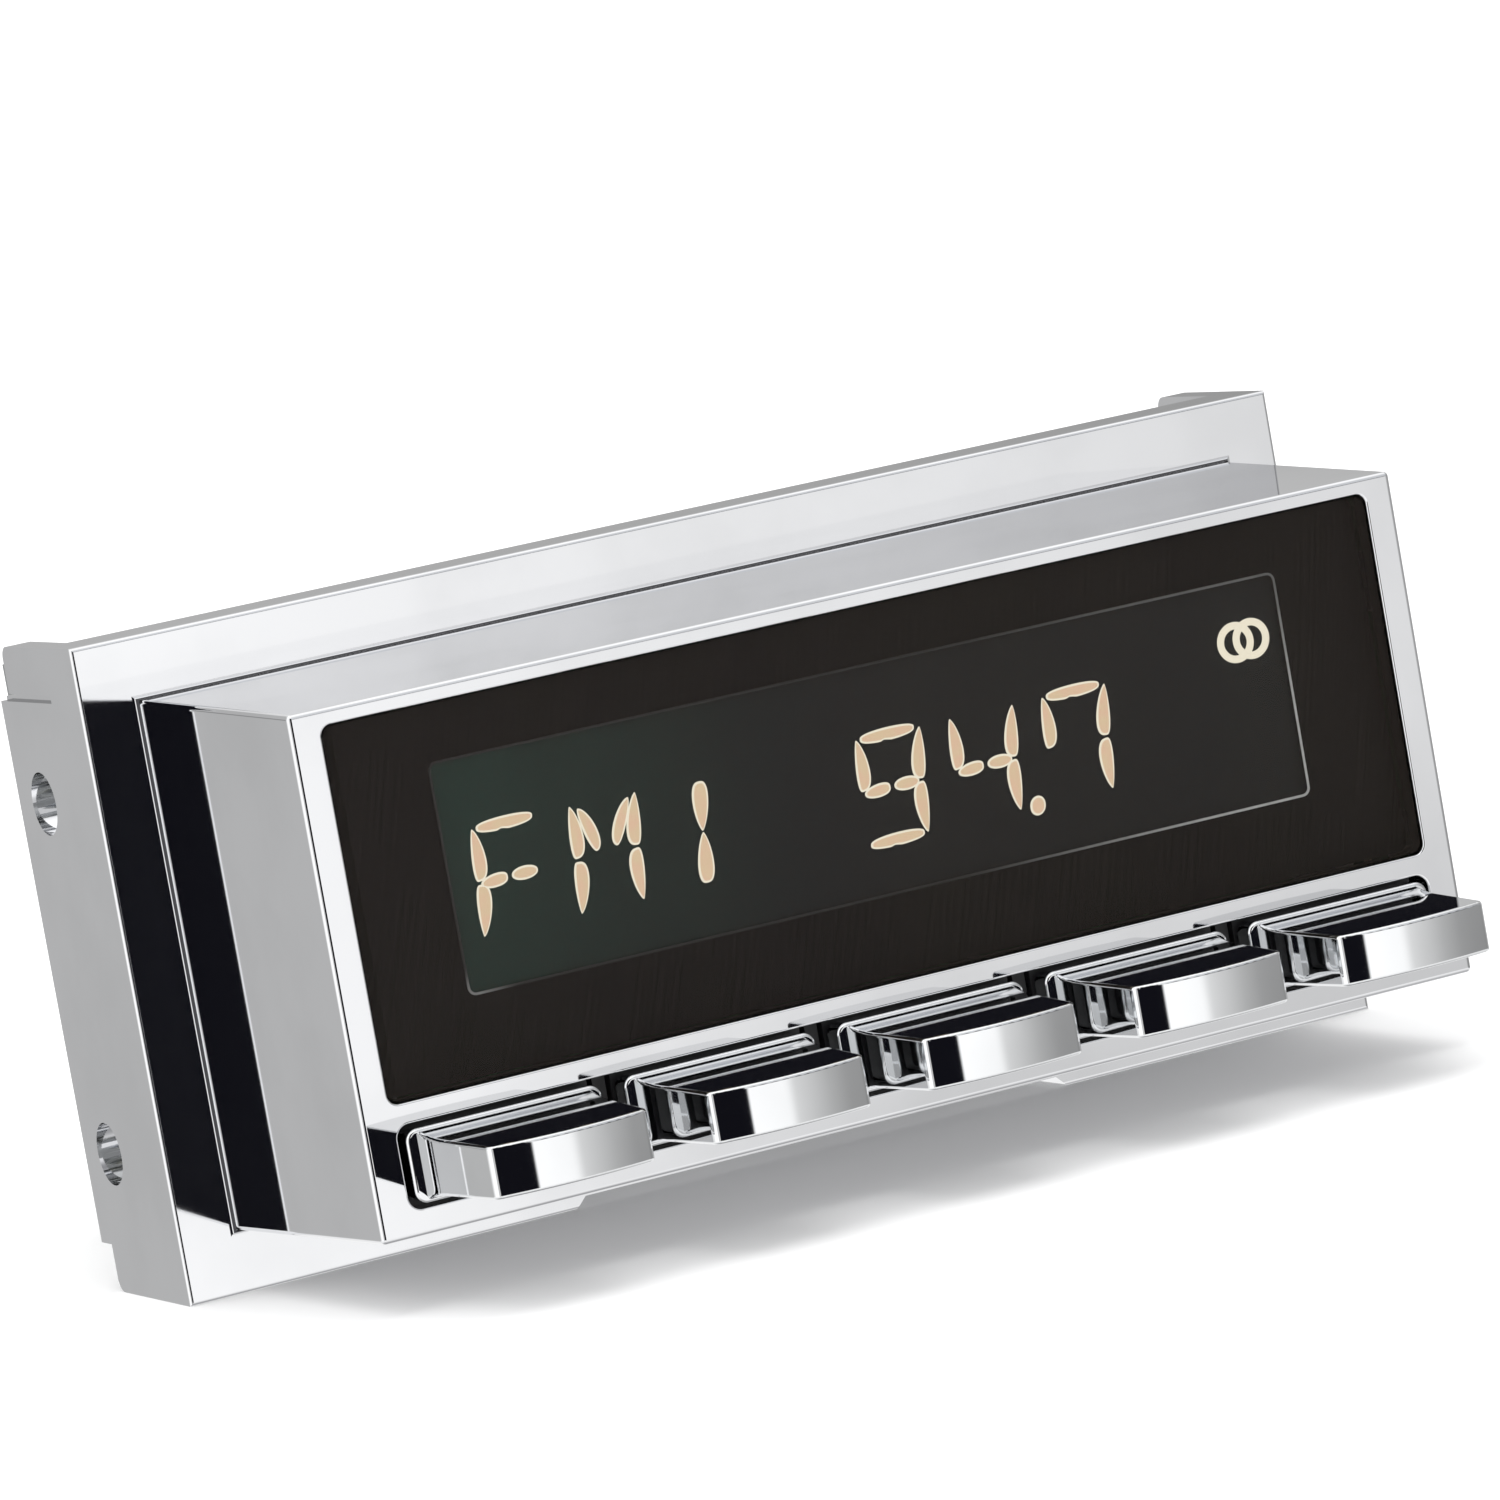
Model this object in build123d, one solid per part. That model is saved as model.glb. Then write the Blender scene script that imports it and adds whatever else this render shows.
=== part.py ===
from build123d import *
from math import atan2, degrees
import os

# A chrome car radio head with a digital display and five push buttons. Millimetres, +Z up, +X to the
# right and -Y towards the driver. The origin is the bottom centre of the radio's outer box.

# Chassis casting: face plate, rim behind it and an ear at each end
plate_width = 120.4
plate_height = 58.6
plate_thickness = 3.0
rim_depth = 6.7
rim_wall = 2.0
ear_thickness = 2.4
ear_depth = 19.2
ear_end_depth = 16.8
ear_upper_end = 4.6
ear_lower_end = 4.3
ear_groove_height = 0.7
ear_groove_depth = 0.6
ear_hole_radius = 2.85
ear_hole_spacing = 31.7
ear_hole_setback = 13.1
ear_hole_drop = 0.65
ear_corner_radius = 1.2
plate_window_side = 9.0
plate_window_inset = 4.8
scallop_width = 50.0
scallop_offset = 2.7
scallop_rise = 1.0
casting_edge = 0.35

# Nose bezel: the tapered box that comes through the dashboard
bezel_width = 108.0
bezel_height = 45.6
bezel_reach = 31.4
bezel_flare = 0.88
bezel_wall = 1.4
bezel_face = 2.0
bezel_edge = 0.45
opening_edge = 0.2
boss_radius = 3.0
boss_length = 14.0
boss_inset = 2.6

# Display stack, from the front
lens_height = 32.7
lens_top_rim = 1.45
lens_side_rim = 2.8
lens_corner = 1.0
lens_clearance = 0.15
lens_recess = 0.3
lens_flange_side = 1.1
lens_flange_thickness = 1.0
mask_thickness = 0.5
window_side_margin = 9.5
window_top_margin = 5.35
window_bottom_margin = 7.05
window_offset = 0.7
window_corner = 0.8
lcd_border = 3.2
lcd_thickness = 1.8
diffuser_border = 1.0
diffuser_thickness = 0.8
reflector_wall = 1.4
led_size = 3.0
led_height = 1.2
led_count = 6
contact_strip_thickness = 1.8
contact_strip_gap = 0.2

# Push buttons
button_count = 5
button_base_gap = 2.1
button_base_height = 6.4
button_base_thickness = 2.0
button_base_proud = 0.6
button_base_corner = 1.1
button_side_step = 1.85
button_tip_height = 4.5
button_flare = 1.0
button_rise = 0.2
button_root_height = 5.9
button_root_length = 4.0
button_reach = 13.4
button_bow = 1.0
button_edge = 0.3
button_corner = 0.8
button_travel = 1.5
slot_side_margin = 3.05
slot_gap_x = 0.5
slot_gap_z = 0.45
slot_corner = 1.2
slot_bar = 1.85
neck_inset = 1.2
shoulder_overlap_top = 0.8
shoulder_overlap_bottom = 0.3
shoulder_side_gap = 1.1
shoulder_thickness = 1.5
stop_gap = 0.3
stem_radius = 1.6
stem_fit = 0.06
spring_wire = 0.4
spring_radius = 2.2
spring_turns = 4
spring_length = 4.1
guide_thickness = 2.0
guide_rib = 1.2
stem_past_guide = 0.6
switch_size = 6.0
switch_height = 1.2
switch_dome_radius = 1.5
switch_dome_height = 0.9
switch_gap = 0.3

# Circuit boards
board_thickness = 1.6
front_board_margin = 2.2
main_board_width = 88.0
main_board_depth = 41.0
main_board_lift = 4.4
main_board_setback = 6.5

# Screws and standoffs
screw_radius = 1.5
screw_fit = 0.05
screw_head_radius = 2.75
screw_head_height = 2.0
screw_slot_width = 0.7
screw_slot_depth = 0.9
standoff_radius = 2.5
front_standoff_gap = 1.05
front_standoff_z = 12.0
small_screw_length = 5.0
bezel_screw_bite = 6.0

# Rear housing and cover
housing_width = 94.0
housing_top_drop = 4.9
housing_length = 49.0
housing_sheet = 1.0
housing_floor_gap = 0.1
tab_width = 7.5
tab_height = 24.0
tab_screw_spacing = 14.0
tab_screw_offset = 3.8
cover_thickness = 1.2
cover_flange = 6.0
cover_screw_inset = 4.0

# Parts on the main board and the rear cover
tuner_size = (26.0, 20.0, 12.0)
tuner_x = -24.0
tuner_setback = 1.5
tuner_lid_inset = 1.5
tuner_lid_rise = 0.6
choke_size = (20.0, 18.0, 17.0)
choke_x = 15.0
choke_setback = 2.5
big_capacitor = (5.0, 20.0)
big_capacitor_places = (9.0, 21.0)
small_capacitor = (4.0, 12.0)
small_capacitor_places = (-34.0, -24.0)
capacitor_inset = 6.0
amplifier_size = (3.6, 18.0, 16.0)
amplifier_legs = 6
amplifier_leg_pitch = 2.0
heat_sink_base = 3.0
heat_sink_fin = 1.2
heat_sink_fin_reach = 7.0
heat_sink_fins = 6
heat_sink_depth = 34.0
heat_sink_height = 26.0
heat_sink_chip_gap = 3.0
heat_sink_lift = 3.0
processor_size = (14.0, 14.0, 1.4)
processor_x = -3.0
processor_setback = 11.0
header_width = 22.0
header_depth = 4.0
header_height = 6.0
ribbon_thickness = 0.5
ribbon_width = 19.0
ribbon_bend = 4.0
ribbon_drop = 4.0
ribbon_setback = 12.0
socket_width = 30.0
socket_height = 13.0
socket_depth = 14.0
socket_wall = 1.5
socket_proud = 3.0
socket_x = -22.0
pin_radius = 0.7
pin_length = 5.0
pin_pitch = 6.0
jack_radius = 6.0
jack_bore = 4.8
jack_proud = 7.0
jack_depth = 16.0
jack_bore_depth = 10.0
jack_seat = 4.0
jack_hole_fit = 0.1
jack_nut_radius = 7.6
jack_nut_thickness = 2.0
jack_x = 28.0
jack_contact_radius = 1.6
jack_contact_bore = 1.0
fuse_holder_size = (16.0, 10.0, 11.0)
fuse_holder_wall = 1.6
fuse_proud = 3.0
fuse_x = 5.0
rear_parts_z = 2.0

# Stations along Y, all measured from the front of the face plate
front_reach = bezel_reach + button_reach + button_bow
housing_end = plate_thickness + housing_length
rear_reach = housing_end + cover_thickness + jack_proud
plate_y = (front_reach - rear_reach) / 2
middle_z = plate_height / 2
bezel_front = plate_y - bezel_reach
bezel_inside = bezel_front + bezel_face
lens_back = bezel_inside + lens_flange_thickness
lcd_front = lens_back + mask_thickness
lcd_back = lcd_front + lcd_thickness
diffuser_back = lcd_back + diffuser_thickness
shoulder_front = bezel_inside + stop_gap
shoulder_back = shoulder_front + shoulder_thickness
guide_front = shoulder_back + spring_length
guide_back = guide_front + guide_thickness
stem_end = guide_back + stem_past_guide
front_board_y = stem_end + button_travel + switch_gap + switch_dome_height + switch_height
front_board_back = front_board_y + board_thickness
plate_back = plate_y + plate_thickness
cover_front = plate_y + housing_end
cover_back = cover_front + cover_thickness

# Widths, all worked out from the nose's
plate_window_width = bezel_width - 2 * plate_window_side
plate_window_height = bezel_height - 2 * plate_window_inset
lens_width = bezel_width - 2 * lens_side_rim
window_width = lens_width - 2 * window_side_margin
slot_width = bezel_width - 2 * slot_side_margin
button_pitch = (slot_width - 2 * slot_gap_x + button_base_gap) / button_count
button_base_width = button_pitch - button_base_gap
button_tip_width = button_base_width - 2 * button_side_step
button_places = [(i - (button_count - 1) / 2) * button_pitch for i in range(button_count)]
front_standoff_x = button_places[-1] + switch_size / 2 + front_standoff_gap + screw_head_radius

# Heights
bezel_top = middle_z + bezel_height / 2
lens_top = bezel_top - lens_top_rim
lens_bottom = lens_top - lens_height
lens_z = (lens_top + lens_bottom) / 2
window_height = lens_height - window_top_margin - window_bottom_margin
window_z = lens_top - window_top_margin - window_height / 2
slot_height = button_base_height + 2 * slot_gap_z
slot_top = lens_bottom - slot_bar
button_z = slot_top - slot_height / 2
slot_bottom = slot_top - slot_height
housing_floor = rim_wall + housing_floor_gap
housing_top = plate_height - housing_top_drop
main_board_z = housing_floor + housing_sheet + main_board_lift
main_board_top = main_board_z + board_thickness
main_board_y = plate_y + main_board_setback + main_board_depth / 2
rear_z = middle_z + rear_parts_z


def spread(middle, size):
    """The low and high ends of a stretch of the given size about its middle."""
    return (middle - size / 2, middle + size / 2)


def block(x, y, z):
    """A box given by its low and high ends along each axis."""
    sizes = [high - low for low, high in (x, y, z)]
    middle = [(low + high) / 2 for low, high in (x, y, z)]
    return Pos(*middle) * Box(*sizes)


def rod_y(radius, y, x, z):
    """A round bar along Y between two stations."""
    return Pos(x, (y[0] + y[1]) / 2, z) * Rot(90, 0, 0) * Cylinder(radius, y[1] - y[0])


def rod_z(radius, z, x, y):
    """A round bar along Z between two heights."""
    return Pos(x, y, (z[0] + z[1]) / 2) * Cylinder(radius, z[1] - z[0])


def panel(width, height, y, x, z, corner):
    """A flat panel that faces the driver, with rounded corners."""
    outline = RectangleRounded(width, height, corner)
    return Pos(x, y[1], z) * Rot(90, 0, 0) * extrude(outline, y[1] - y[0])


def taper(width, height, flare, y, x, z):
    """A box of the given front size whose four sides flare out evenly towards its back."""
    length = y[1] - y[0]
    back = Rectangle(width + 2 * flare, height + 2 * flare)
    angle = degrees(atan2(flare, length))
    return Pos(x, y[1], z) * Rot(90, 0, 0) * extrude(back, length, taper=angle)


def wedge(halves, y, depth):
    """A wedge along Y, of the given half widths at its two ends, and evenly deep along Z."""
    front, back = halves
    outline = Polyline((-front, y[0]), (front, y[0]), (back, y[1]), (-back, y[1]), close=True)
    return extrude(make_face(outline), depth / 2, both=True)


def soften(solid, radius):
    """Rounds every edge of a solid except those round its flat back face."""
    back = solid.faces().sort_by(Axis.Y)[-1].edges()
    centres = [edge.center() for edge in back]
    kept = [e for e in solid.edges() if min((e.center() - c).length for c in centres) > radius / 2]
    return fillet(kept, radius)


def screw_y(head_front, length, x, z, towards):
    """A slotted pan-head screw along Y; towards is +1 where its shank points to +Y."""
    head_back = head_front - towards * screw_head_height
    tip = head_front + towards * length
    head = rod_y(screw_head_radius, sorted((head_back, head_front)), x, z)
    shank = rod_y(screw_radius, sorted((head_front, tip)), x, z)
    slot_floor = head_back + towards * screw_slot_depth
    slot = block(
        spread(x, 3 * screw_head_radius),
        sorted((head_back, slot_floor)),
        spread(z, screw_slot_width),
    )
    return head - slot + shank


def bezel_boss_places():
    """Where the bezel's four screw bosses stand, as x and z."""
    x = bezel_width / 2 + bezel_flare - bezel_wall - boss_inset
    z = bezel_height / 2 + bezel_flare - bezel_wall - boss_inset
    return [(sx * x, middle_z + sz * z) for sx in (-1, 1) for sz in (-1, 1)]


def front_standoff_places():
    """Where the front board's four standoffs stand, as x and z."""
    return [
        (sx * front_standoff_x, middle_z + sz * front_standoff_z)
        for sx in (-1, 1)
        for sz in (-1, 1)
    ]


def tab_screw_places():
    """Where the housing's side tabs are screwed to the plate, as x and z."""
    x = housing_width / 2 + tab_screw_offset
    return [
        (sx * x, middle_z + sz * tab_screw_spacing / 2) for sx in (-1, 1) for sz in (-1, 1)
    ]


def cover_screw_places():
    """Where the rear cover is screwed to the housing, as x and z."""
    x = housing_width / 2 - cover_screw_inset
    low = housing_floor + cover_screw_inset
    high = housing_top - cover_screw_inset
    return [(sx * x, z) for sx in (-1, 1) for z in (low, high)]


def main_standoff_places():
    """Where the main board's standoffs stand, as x and y."""
    x = main_board_width / 2 - standoff_radius - 1
    y = main_board_depth / 2 - standoff_radius - 1
    return [(sx * x, main_board_y + sy * y) for sx in (-1, 1) for sy in (-1, 1)]


def make_ear(side):
    """One mounting ear, stepped at both ends, grooved and with two screw holes."""
    inner = plate_width / 2 - ear_thickness
    across = sorted((side * inner, side * plate_width / 2))
    ear = block(across, (plate_y, plate_y + ear_end_depth), (0, plate_height))
    corners = ear.edges().filter_by(Axis.X).group_by(Axis.Y)[-1]
    ear = fillet(corners, ear_corner_radius)
    high = plate_height - ear_upper_end
    ear += block(across, (plate_y, plate_y + ear_depth), (ear_lower_end, high))
    skin = side * (plate_width / 2 - ear_groove_depth)
    ear -= block(
        sorted((skin, side * plate_width)),
        (plate_y + rim_depth, plate_y + 2 * ear_depth),
        spread(high, ear_groove_height),
    )
    for up in (-0.5, 0.5):
        hole_z = middle_z - ear_hole_drop + up * ear_hole_spacing
        hole = Pos(side * plate_width / 2, plate_y + ear_hole_setback, hole_z)
        ear -= hole * Rot(0, 90, 0) * Cylinder(ear_hole_radius, 4 * ear_thickness)
    return ear


def make_chassis():
    """The casting behind the dashboard: face plate, rim and both ears."""
    outside = spread(0, plate_width)
    frame = block(outside, (plate_y, plate_y + rim_depth), (0, plate_height))
    frame = fillet(frame.faces().sort_by(Axis.Y)[0].edges(), casting_edge)
    hollow = block(
        spread(0, plate_width - 2 * ear_thickness),
        (plate_back, plate_y + 2 * rim_depth),
        (rim_wall, plate_height - rim_wall),
    )
    frame -= hollow
    frame -= block(
        spread(0, plate_window_width),
        (plate_y - 1, plate_back + 1),
        spread(middle_z, plate_window_height),
    )
    scallop = block(
        spread(scallop_offset, scallop_width),
        (plate_y - 1, plate_y + 2 * rim_depth),
        (-scallop_rise, scallop_rise),
    )
    scallop = chamfer(scallop.edges().filter_by(Axis.Y).group_by(Axis.Z)[-1], 0.9 * scallop_rise)
    frame -= scallop
    for side in (-1, 1):
        frame += make_ear(side) - block(outside, (plate_y - 1, plate_y + 1), (-1, plate_height + 1))
    for x, z in bezel_boss_places() + tab_screw_places():
        frame -= rod_y(screw_radius + screw_fit, (plate_y - 1, plate_back + 1), x, z)
    return frame


def make_bezel():
    """The nose: a thin tapered shell with a lens opening, a button slot and four bosses."""
    shell = taper(bezel_width, bezel_height, bezel_flare, (bezel_front, plate_y), 0, middle_z)
    shell = soften(shell, bezel_edge)
    cavity = taper(
        bezel_width - 2 * bezel_wall,
        bezel_height - 2 * bezel_wall,
        bezel_flare,
        (bezel_inside, plate_y),
        0,
        middle_z,
    )
    bosses = Part()
    for x, z in bezel_boss_places():
        bosses += rod_y(boss_radius, (plate_y - boss_length, plate_y), x, z)
    shell = shell - (cavity - bosses)
    through = (bezel_front - 1, bezel_inside + 1)
    shell -= panel(lens_width, lens_height, through, 0, lens_z, lens_corner)
    shell -= panel(slot_width, slot_height, through, 0, button_z, slot_corner)
    front = shell.faces().sort_by(Axis.Y)[0]
    shell = fillet([edge for wire in front.inner_wires() for edge in wire.edges()], opening_edge)
    for x, z in bezel_boss_places():
        bore = (plate_y - bezel_screw_bite - 1, plate_y + 1)
        shell -= rod_y(screw_radius + screw_fit, bore, x, z)
    return shell


def make_lens():
    """The smoked lens: a plate in the bezel's opening with a flange behind each end."""
    width = lens_width - 2 * lens_clearance
    height = lens_height - 2 * lens_clearance
    pane = panel(width, height, (bezel_front + lens_recess, lens_back), 0, lens_z, lens_corner)
    flange = block(
        spread(0, lens_width + 2 * lens_flange_side),
        (bezel_inside, lens_back),
        spread(lens_z, height - 2 * lens_corner),
    )
    return pane + flange


def make_mask():
    """The black mask behind the lens, with the display's window."""
    height = lens_height - 2 * lens_clearance
    sheet = panel(lens_width, height, (lens_back, lcd_front), 0, lens_z, lens_corner)
    through = (lens_back - 1, lcd_front + 1)
    return sheet - panel(
        window_width, window_height, through, window_offset, window_z, window_corner
    )


def make_display_block(border, y):
    """A plain rectangular layer of the display, a border larger than the window."""
    return block(
        spread(window_offset, window_width + 2 * border),
        y,
        spread(window_z, window_height + 2 * border),
    )


def make_reflector():
    """The white light box between the display and the front board."""
    y = (diffuser_back, front_board_y)
    walls = make_display_block(diffuser_border, y)
    through = (diffuser_back - 1, front_board_y + 1)
    return walls - make_display_block(diffuser_border - reflector_wall, through)


def make_leds():
    """The backlight: a row of lamps on the front board, inside the light box."""
    pitch = window_width / led_count
    lamps = Part()
    for i in range(led_count):
        x = window_offset + (i - (led_count - 1) / 2) * pitch
        y = (front_board_y - led_height, front_board_y)
        lamps += block(spread(x, led_size), y, spread(window_z, led_size))
    return lamps


def make_contact_strip():
    """The rubber strip that joins the display's lower edge to the front board."""
    top = window_z - window_height / 2 - diffuser_border - contact_strip_gap
    return block(
        spread(window_offset, window_width),
        (lcd_back, front_board_y),
        (top - contact_strip_thickness, top),
    )


def make_front_board():
    """The upright circuit board that carries the display and the switches."""
    width = bezel_width - 2 * bezel_wall - front_board_margin
    height = bezel_height - 2 * bezel_wall - front_board_margin
    y = (front_board_y, front_board_back)
    board = block(spread(0, width), y, spread(middle_z, height))
    for x, z in front_standoff_places():
        through = (front_board_y - 1, front_board_back + 1)
        board -= rod_y(screw_radius + screw_fit, through, x, z)
    return board


def make_switches():
    """Five low key switches, each with a round dome that a button's stem presses."""
    switches = Part()
    top = front_board_y - switch_height
    for x in button_places:
        y = (top, front_board_y)
        switches += block(spread(x, switch_size), y, spread(button_z, switch_size))
        switches += rod_y(switch_dome_radius, (top - switch_dome_height, top), x, button_z)
    return switches


def make_button_side(tip, root, back):
    """A button's body from the side: a slow rise from the tip, then a curved flare at the root."""
    low = button_tip_height / 2
    high = button_root_height / 2
    knee = (root - button_root_length, low + button_rise)
    rise = Line((tip, low), knee)
    flare = TangentArc(knee, (root, high), tangent=rise % 1)
    rest = Polyline((root, high), (back, high), (back, 0), (tip, 0), (tip, low))
    upper = make_face(rise + flare + rest)
    return extrude(Plane.YZ * (upper + mirror(upper, about=Plane.XZ)), button_base_width, both=True)


def make_button(x):
    """One chrome button: a rounded base in the slot and a tapered body with a bowed front."""
    base_front = bezel_front - button_base_proud
    base_back = base_front + button_base_thickness
    base = panel(
        button_base_width,
        button_base_height,
        (base_front, base_back),
        x,
        button_z,
        button_base_corner,
    )
    base = fillet(base.faces().sort_by(Axis.Y)[0].edges(), button_edge)
    tip = bezel_front - button_reach - button_bow
    length = (tip, base_back)
    half = button_tip_width / 2
    plan = wedge((half, half + button_flare), length, 4 * button_base_height)
    side = make_button_side(tip, base_front, base_back)
    bow_radius = (half**2 + button_bow**2) / (2 * button_bow)
    bow = Pos(0, tip + bow_radius, 0) * Cylinder(bow_radius, 4 * button_base_height)
    body = plan & side & bow
    corners = body.edges().filter_by(Axis.Z).group_by(Axis.Y)[0]
    body = fillet(corners, button_corner)
    return base + Pos(x, 0, button_z) * soften(body, button_edge)


def make_plunger(x):
    """The black plunger behind a button: neck, stop shoulder and guide stem."""
    neck_front = bezel_front - button_base_proud + button_base_thickness
    neck = block(
        spread(x, button_base_width - 2 * neck_inset),
        (neck_front, shoulder_front),
        spread(button_z, button_base_height - 2 * neck_inset),
    )
    shoulder = block(
        spread(x, button_pitch - 2 * shoulder_side_gap),
        (shoulder_front, shoulder_back),
        (slot_bottom - shoulder_overlap_bottom, slot_top + shoulder_overlap_top),
    )
    return neck + shoulder + rod_y(stem_radius, (shoulder_back, stem_end), x, button_z)


def make_spring(x):
    """The coil spring round a plunger's stem, from the shoulder to the guide."""
    rise = spring_length - spring_wire
    coil = Helix(rise / spring_turns, rise, spring_radius)
    start = Plane(origin=coil @ 0, z_dir=coil % 0)
    wire = sweep(start * Circle(spring_wire / 2), path=coil, is_frenet=True)
    return Pos(x, guide_front - spring_wire / 2, button_z) * Rot(90, 0, 0) * wire


def make_guide():
    """The black bar that guides the five stems, with ribs that part the shoulders."""
    low = slot_bottom - shoulder_overlap_bottom
    high = slot_top + shoulder_overlap_top
    bar = block(spread(0, slot_width), (guide_front, guide_back), (low, high))
    for x in button_places:
        through = (guide_front - 1, guide_back + 1)
        bar -= rod_y(stem_radius + stem_fit, through, x, button_z)
    for i in range(button_count - 1):
        x = button_places[i] + button_pitch / 2
        bar += block(spread(x, guide_rib), (shoulder_front, guide_front), (low, high))
        foot = (guide_back, front_board_y)
        bar += block(spread(x, guide_rib), foot, (low, high))
    return bar


def make_front_standoffs():
    """Four round standoffs between the face plate and the front board."""
    posts = Part()
    for x, z in front_standoff_places():
        post = rod_y(standoff_radius, (front_board_back, plate_y), x, z)
        bore = (front_board_back - 1, front_board_y + small_screw_length + 1)
        posts += post - rod_y(screw_radius + screw_fit, bore, x, z)
    return posts


def make_front_screws():
    """The screws that hold the front board to its standoffs."""
    screws = Part()
    for x, z in front_standoff_places():
        screws += screw_y(front_board_y, small_screw_length, x, z, 1)
    return screws


def make_bezel_screws():
    """The screws from behind the face plate into the bezel's bosses."""
    screws = Part()
    for x, z in bezel_boss_places():
        screws += screw_y(plate_back, plate_thickness + bezel_screw_bite, x, z, -1)
    return screws


def make_housing():
    """The folded steel housing behind the plate, open to the front, with two side tabs."""
    outside = spread(0, housing_width)
    y = (plate_back, cover_front)
    shell = block(outside, y, (housing_floor, housing_top))
    shell -= block(
        spread(0, housing_width - 2 * housing_sheet),
        (plate_back - 1, cover_front - housing_sheet),
        (housing_floor + housing_sheet, housing_top - housing_sheet),
    )
    shell -= block(
        spread(0, housing_width - 2 * housing_sheet - 2 * cover_flange),
        (plate_back, cover_front + 1),
        (housing_floor + cover_flange, housing_top - cover_flange),
    )
    for side in (-1, 1):
        edge = side * housing_width / 2
        shell += block(
            sorted((edge, edge + side * tab_width)),
            (plate_back, plate_back + housing_sheet),
            spread(middle_z, tab_height),
        )
    for x, z in tab_screw_places():
        through = (plate_back - 1, plate_back + 2 * housing_sheet)
        shell -= rod_y(screw_radius + screw_fit, through, x, z)
    for x, z in cover_screw_places():
        through = (cover_front - 2 * housing_sheet, cover_front + 1)
        shell -= rod_y(screw_radius + screw_fit, through, x, z)
    return shell


def make_housing_screws():
    """The screws through the housing's tabs into the face plate."""
    screws = Part()
    for x, z in tab_screw_places():
        screws += screw_y(plate_back + housing_sheet, plate_thickness, x, z, -1)
    return screws


def make_cover():
    """The flat rear cover, cut out for the socket, the fuse and the aerial jack."""
    y = (cover_front, cover_back)
    cover = block(spread(0, housing_width), y, (housing_floor, housing_top))
    through = (cover_front - 1, cover_back + 1)
    cover -= block(spread(socket_x, socket_width), through, spread(rear_z, socket_height))
    fuse_width, _, fuse_height = fuse_holder_size
    cover -= block(spread(fuse_x, fuse_width), through, spread(rear_z, fuse_height))
    cover -= rod_y(jack_radius + jack_hole_fit, through, jack_x, rear_z)
    for x, z in cover_screw_places():
        cover -= rod_y(screw_radius + screw_fit, through, x, z)
    return cover


def make_cover_screws():
    """The screws that close the rear cover."""
    screws = Part()
    for x, z in cover_screw_places():
        screws += screw_y(cover_back, small_screw_length, x, z, -1)
    return screws


def make_main_board():
    """The flat main circuit board on the housing's floor."""
    y = spread(main_board_y, main_board_depth)
    z = (main_board_z, main_board_top)
    board = block(spread(0, main_board_width), y, z)
    for x, place in main_standoff_places():
        through = (main_board_z - 1, main_board_top + 1)
        board -= rod_z(screw_radius + screw_fit, through, x, place)
    return board


def make_main_standoffs():
    """Four standoffs under the main board."""
    posts = Part()
    for x, y in main_standoff_places():
        post = rod_z(standoff_radius, (housing_floor + housing_sheet, main_board_z), x, y)
        bore = (main_board_top - small_screw_length, main_board_z + 1)
        posts += post - rod_z(screw_radius + screw_fit, bore, x, y)
    return posts


def make_main_screws():
    """The screws that hold the main board down."""
    screws = Part()
    tip = main_board_top - small_screw_length
    for x, y in main_standoff_places():
        screws += rod_z(screw_head_radius, (main_board_top, main_board_top + screw_head_height), x, y)
        screws += rod_z(screw_radius, (tip, main_board_top), x, y)
        top = main_board_top + screw_head_height
        screws -= block(
            spread(x, 3 * screw_head_radius),
            spread(y, screw_slot_width),
            (top - screw_slot_depth, top),
        )
    return screws


def on_board(size, x, y):
    """A box of the given size standing on the main board."""
    width, depth, height = size
    z = (main_board_top, main_board_top + height)
    return block(spread(x, width), spread(y, depth), z)


def make_tuner():
    """The screened tuner can, with a stepped lid."""
    x = tuner_x
    y = main_board_y - tuner_setback
    can = on_board(tuner_size, x, y)
    lid_top = main_board_top + tuner_size[2]
    width = tuner_size[0] - 2 * tuner_lid_inset
    depth = tuner_size[1] - 2 * tuner_lid_inset
    lid = block(spread(x, width), spread(y, depth), (lid_top, lid_top + tuner_lid_rise))
    return can + lid


def make_choke():
    """The iron-cored choke in the supply line."""
    x = choke_x
    y = main_board_y + choke_setback
    core = on_board(choke_size, x, y)
    window = block(
        spread(x, choke_size[0] / 2),
        spread(y, choke_size[1] + 2),
        spread(main_board_top + choke_size[2] / 2, choke_size[2] / 3),
    )
    winding = block(
        spread(x, choke_size[0] / 2 - 1),
        spread(y, choke_size[1] + 1),
        spread(main_board_top + choke_size[2] / 2, choke_size[2] / 3),
    )
    return core - window + winding


def make_capacitors():
    """The supply's electrolytic capacitors."""
    cans = Part()
    front = main_board_y - main_board_depth / 2 + capacitor_inset
    back = main_board_y + main_board_depth / 2 - capacitor_inset
    rows = ((big_capacitor, big_capacitor_places, front), (small_capacitor, small_capacitor_places, back))
    for (radius, height), places, y in rows:
        for x in places:
            cans += rod_z(radius, (main_board_top, main_board_top + height), x, y)
    return cans


def make_heat_sink():
    """The finned sink on the housing's right wall."""
    wall = housing_width / 2 - housing_sheet
    low = main_board_top + heat_sink_lift
    z = (low, low + heat_sink_height)
    y = spread(main_board_y, heat_sink_depth)
    sink = block((wall - heat_sink_base, wall), y, z)
    inner = wall - heat_sink_base
    pitch = (heat_sink_height - heat_sink_fin) / (heat_sink_fins - 1)
    for i in range(heat_sink_fins):
        fin = (low + i * pitch, low + i * pitch + heat_sink_fin)
        behind_chip = (y[0] + amplifier_size[1] + heat_sink_chip_gap, y[1])
        sink += block((inner - heat_sink_fin_reach, inner), behind_chip, fin)
    return sink


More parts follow.
